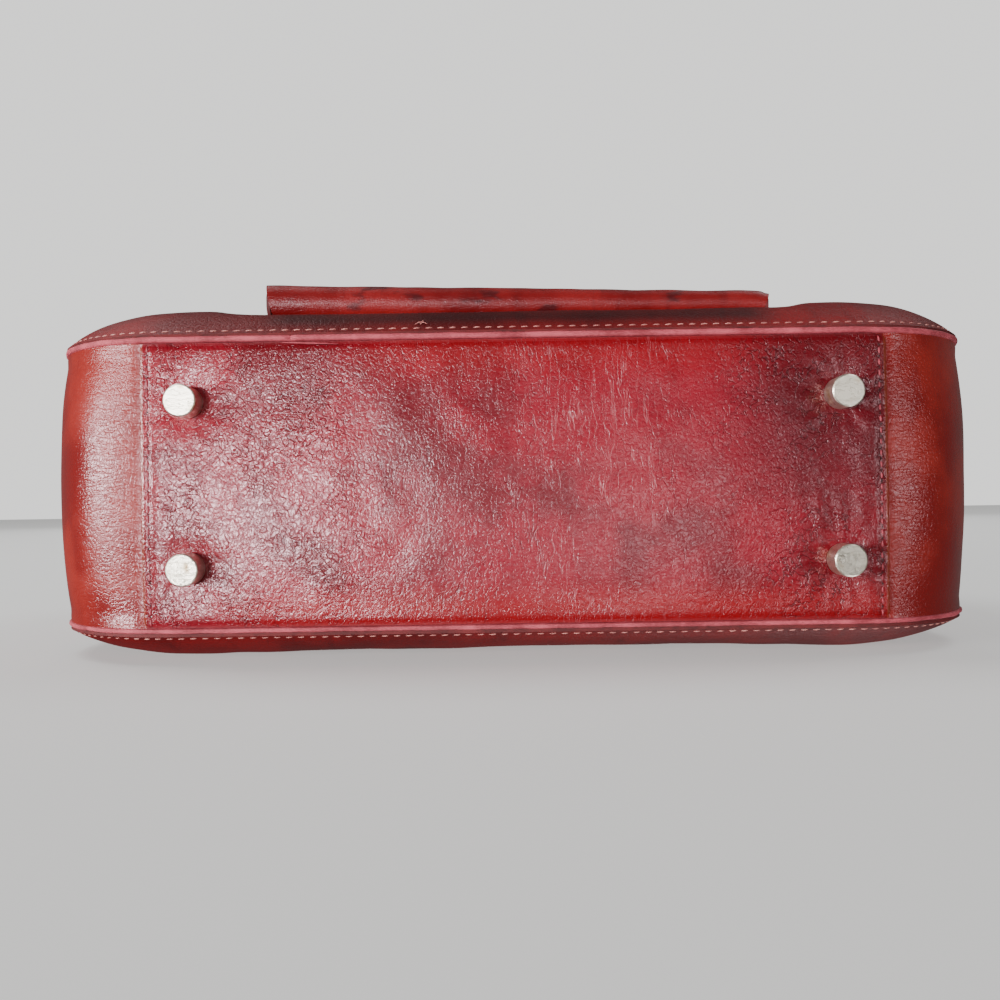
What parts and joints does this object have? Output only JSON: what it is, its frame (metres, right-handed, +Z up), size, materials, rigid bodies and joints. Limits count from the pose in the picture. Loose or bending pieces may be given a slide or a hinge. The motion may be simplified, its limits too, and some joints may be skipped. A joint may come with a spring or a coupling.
{
  "type": "doctor bag",
  "caption": "Leather doctor bag with a hinged frame mouth, kiss-lock clasp, swinging handle, flap pocket on the front and metal base feet.",
  "frame": {"origin": "on the ground, in the middle of the base feet", "axes": "+Z up, the bag's front and its pocket face -Y, the bag's length runs along X"},
  "size_m": [0.3462, 0.1343, 0.329],
  "materials": {
    "base_leather": "satin, creased",
    "gusset_leather": "satin, smooth",
    "panel_leather": "satin, pebbled",
    "edge_leather": "raw cut edge",
    "trim_leather": "satin, worn",
    "nickel": "brushed nickel, scratched",
    "steel": "plain",
    "lining_cloth": "cotton twill",
    "board": "pressed fibre board",
    "cord": "twisted cord"
  },
  "bodies": {
    "bag_body": {"base_panel": "base_leather", "gusset_left": "gusset_leather", "gusset_right": "gusset_leather", "front_panel": "panel_leather", "back_panel": "panel_leather", "front_edge_welt": "edge_leather", "back_edge_welt": "edge_leather", "base_board": "board", "lining": "lining_cloth", "inner_pocket": "lining_cloth", "foot_front_left": "nickel", "foot_front_right": "nickel", "foot_back_left": "nickel", "foot_back_right": "nickel", "foot_washers": "steel", "foot_nuts": "steel", "front_pocket": "trim_leather", "flap_strip": "trim_leather", "snap_base": "nickel", "hinge_plate_left": "nickel", "hinge_plate_right": "nickel", "hinge_pin_left": "nickel", "hinge_pin_right": "nickel", "front_shoulder": "panel_leather", "back_shoulder": "panel_leather", "gusset_fold_left": "gusset_leather", "gusset_fold_right": "gusset_leather"},
    "pocket_flap": {"pocket_flap": "trim_leather", "snap_cap": "nickel", "flap_stud": "nickel"},
    "front_frame": {"front_frame_bar": "steel", "front_frame_wrap": "trim_leather", "front_clasp_knob": "nickel"},
    "back_frame": {"back_frame_bar": "steel", "back_frame_wrap": "trim_leather", "back_clasp_knob": "nickel", "handle_bracket_left": "nickel", "handle_bracket_right": "nickel", "bracket_rivets_left": "nickel", "bracket_rivets_right": "nickel"},
    "handle": {"handle_grip": "trim_leather", "handle_core": "cord", "handle_tab_left": "trim_leather", "handle_tab_right": "trim_leather", "handle_ring_left": "nickel", "handle_ring_right": "nickel"}
  },
  "joints": [
    {"name": "front_frame_hinge", "type": "hinge", "parent": "bag_body", "child": "front_frame", "pos_m": [0, 0, 0.17], "axis": [1, 0, 0], "range_deg": [0, 45], "deforming": ["front_shoulder", "gusset_fold_left", "gusset_fold_right"]},
    {"name": "back_frame_hinge", "type": "hinge", "parent": "bag_body", "child": "back_frame", "pos_m": [0, 0, 0.17], "axis": [-1, 0, 0], "range_deg": [0, 45], "deforming": ["back_shoulder"]},
    {"name": "handle_swing", "type": "hinge", "parent": "back_frame", "child": "handle", "pos_m": [0, 0.0062, 0.2468], "axis": [1, 0, 0], "range_deg": [-80, 80]},
    {"name": "flap_fold", "type": "hinge", "parent": "bag_body", "child": "pocket_flap", "pos_m": [0, -0.0737, 0.149], "axis": [-1, 0, 0], "range_deg": [0, 150]}
  ]
}
